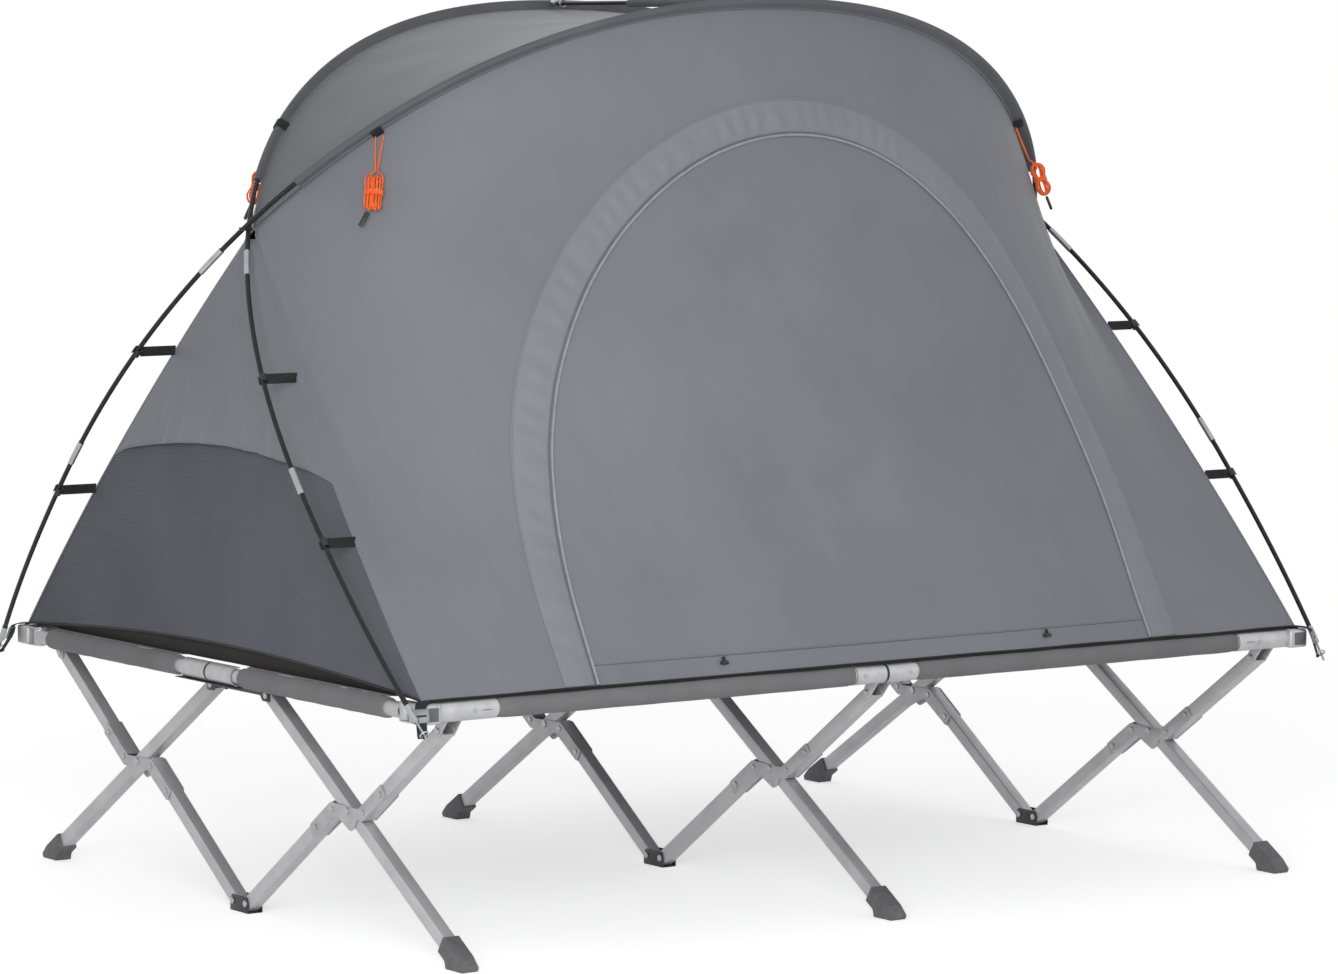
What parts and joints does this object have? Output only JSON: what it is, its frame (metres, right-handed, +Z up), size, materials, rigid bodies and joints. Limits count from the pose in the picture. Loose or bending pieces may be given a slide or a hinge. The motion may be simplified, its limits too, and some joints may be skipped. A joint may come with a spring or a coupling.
{
  "type": "tent cot",
  "caption": "Camp bed on folding scissor legs with a pole tent standing on it, front door flap and stowed guy lines.",
  "frame": {"origin": "on the floor, under the middle of the bed", "axes": "+X along the bed to its right end as seen from the door, +Y from the door side to the back, +Z up"},
  "size_m": [2.1126, 1.5492, 1.6616],
  "materials": {
    "aluminium": "satin",
    "bracket_black": "satin black",
    "foot_plastic": "matte",
    "bed_cloth": "woven",
    "tent_cloth": "woven",
    "door_cloth": "woven",
    "floor_sheet": "coated",
    "pole_black": "satin",
    "webbing": "woven",
    "guy_line": "braided"
  },
  "bodies": {
    "bed_and_tent": {"top_bracket_left": "bracket_black", "top_bracket_middle": "bracket_black", "top_bracket_right": "bracket_black", "end_bar_trough_left": "aluminium", "end_bar_trough_right": "aluminium", "bed_cloth": "bed_cloth", "tent_floor": "floor_sheet", "tent_back_wall": "tent_cloth", "tent_front_wall": "tent_cloth", "tent_right_wall": "tent_cloth", "tent_left_wall": "tent_cloth", "tent_roof": "tent_cloth", "pole_from_front": "pole_black", "pole_from_back": "pole_black", "corner_strap_front_left": "webbing", "corner_strap_front_right": "webbing", "corner_strap_back_left": "webbing", "corner_strap_back_right": "webbing", "ridge_spreader": "pole_black", "guy_line_front_left": "guy_line", "guy_line_front_right": "guy_line", "guy_line_back_left": "guy_line"},
    "front_outer_legs": {"outer_leg_front_left": "aluminium", "foot_front_left": "foot_plastic", "outer_leg_front_middle": "aluminium", "foot_front_middle": "foot_plastic", "outer_leg_front_right": "aluminium", "foot_front_right": "foot_plastic"},
    "front_inner_legs": {"inner_leg_front_left": "aluminium", "inner_leg_front_middle": "aluminium", "inner_leg_front_right": "aluminium"},
    "front_rail": {"rail_coupling_front": "aluminium", "rail_front_left": "aluminium", "corner_front_left": "aluminium", "rail_front_right": "aluminium", "corner_front_right": "aluminium"},
    "end_bar_front_left": {"end_bar_front_left": "aluminium"},
    "end_bar_front_right": {"end_bar_front_right": "aluminium"},
    "back_outer_legs": {"outer_leg_back_left": "aluminium", "foot_back_left": "foot_plastic", "outer_leg_back_middle": "aluminium", "foot_back_middle": "foot_plastic", "outer_leg_back_right": "aluminium", "foot_back_right": "foot_plastic"},
    "back_inner_legs": {"inner_leg_back_left": "aluminium", "inner_leg_back_middle": "aluminium", "inner_leg_back_right": "aluminium"},
    "back_rail": {"rail_coupling_back": "aluminium", "rail_back_left": "aluminium", "corner_back_left": "aluminium", "rail_back_right": "aluminium", "corner_back_right": "aluminium"},
    "end_bar_back_left": {"end_bar_back_left": "aluminium"},
    "end_bar_back_right": {"end_bar_back_right": "aluminium"},
    "bottom_brackets": {"bottom_bracket_left": "bracket_black", "bottom_bracket_middle": "bracket_black", "bottom_bracket_right": "bracket_black"},
    "door": {"tent_door": "door_cloth"}
  },
  "joints": [
    {"name": "width_fold", "type": "hinge", "parent": "bed_and_tent", "child": "front_outer_legs", "pos_m": [0, -0.1, 0.408], "axis": [1, 0, 0], "range_deg": [0, 45], "deforming": ["bed_cloth"]},
    {"name": "front_cross_pins", "type": "hinge", "parent": "front_outer_legs", "child": "front_inner_legs", "pos_m": [0, -0.381, 0.233], "axis": [1, 0, 0], "range_deg": [-82.62, 0]},
    {"name": "front_rail_pins", "type": "hinge", "parent": "front_inner_legs", "child": "front_rail", "pos_m": [0, -0.682, 0.408], "axis": [1, 0, 0], "range_deg": [0, 37.62]},
    {"name": "bottom_bracket_pins", "type": "hinge", "parent": "front_inner_legs", "child": "bottom_brackets", "pos_m": [0, -0.023, 0.018], "axis": [1, 0, 0], "range_deg": [0, 37.62]},
    {"name": "back_top_pins", "type": "hinge", "parent": "bed_and_tent", "child": "back_outer_legs", "pos_m": [0, 0.1, 0.408], "axis": [-1, 0, 0], "range_deg": [0, 45]},
    {"name": "back_cross_pins", "type": "hinge", "parent": "back_outer_legs", "child": "back_inner_legs", "pos_m": [0, 0.381, 0.233], "axis": [-1, 0, 0], "range_deg": [-82.62, 0]},
    {"name": "back_rail_pins", "type": "hinge", "parent": "back_inner_legs", "child": "back_rail", "pos_m": [0, 0.682, 0.408], "axis": [-1, 0, 0], "range_deg": [0, 37.62]},
    {"name": "end_bar_hinge_front_left", "type": "hinge", "parent": "front_rail", "child": "end_bar_front_left", "pos_m": [-0.985, -0.665, 0.445], "axis": [0, 0, -1], "range_deg": [0, 90]},
    {"name": "end_bar_hinge_front_right", "type": "hinge", "parent": "front_rail", "child": "end_bar_front_right", "pos_m": [0.985, -0.665, 0.445], "axis": [0, 0, 1], "range_deg": [0, 90]},
    {"name": "end_bar_hinge_back_left", "type": "hinge", "parent": "back_rail", "child": "end_bar_back_left", "pos_m": [-0.985, 0.665, 0.445], "axis": [0, 0, 1], "range_deg": [0, 90]},
    {"name": "end_bar_hinge_back_right", "type": "hinge", "parent": "back_rail", "child": "end_bar_back_right", "pos_m": [0.985, 0.665, 0.445], "axis": [0, 0, -1], "range_deg": [0, 90]},
    {"name": "door_open", "type": "hinge", "parent": "bed_and_tent", "child": "door", "pos_m": [0, -0.70542, 0.5], "axis": [1, 0, 0], "range_deg": [0, 100]}
  ],
  "couplings": [
    {"joint": "front_cross_pins", "follows": "width_fold", "ratio": -1.836},
    {"joint": "front_rail_pins", "follows": "width_fold", "ratio": 0.836},
    {"joint": "bottom_bracket_pins", "follows": "width_fold", "ratio": 0.836},
    {"joint": "back_top_pins", "follows": "width_fold", "ratio": 1},
    {"joint": "back_cross_pins", "follows": "width_fold", "ratio": -1.836},
    {"joint": "back_rail_pins", "follows": "width_fold", "ratio": 0.836},
    {"joint": "end_bar_hinge_front_left", "follows": "width_fold", "ratio": 2},
    {"joint": "end_bar_hinge_front_right", "follows": "width_fold", "ratio": 2},
    {"joint": "end_bar_hinge_back_left", "follows": "width_fold", "ratio": 2},
    {"joint": "end_bar_hinge_back_right", "follows": "width_fold", "ratio": 2}
  ]
}
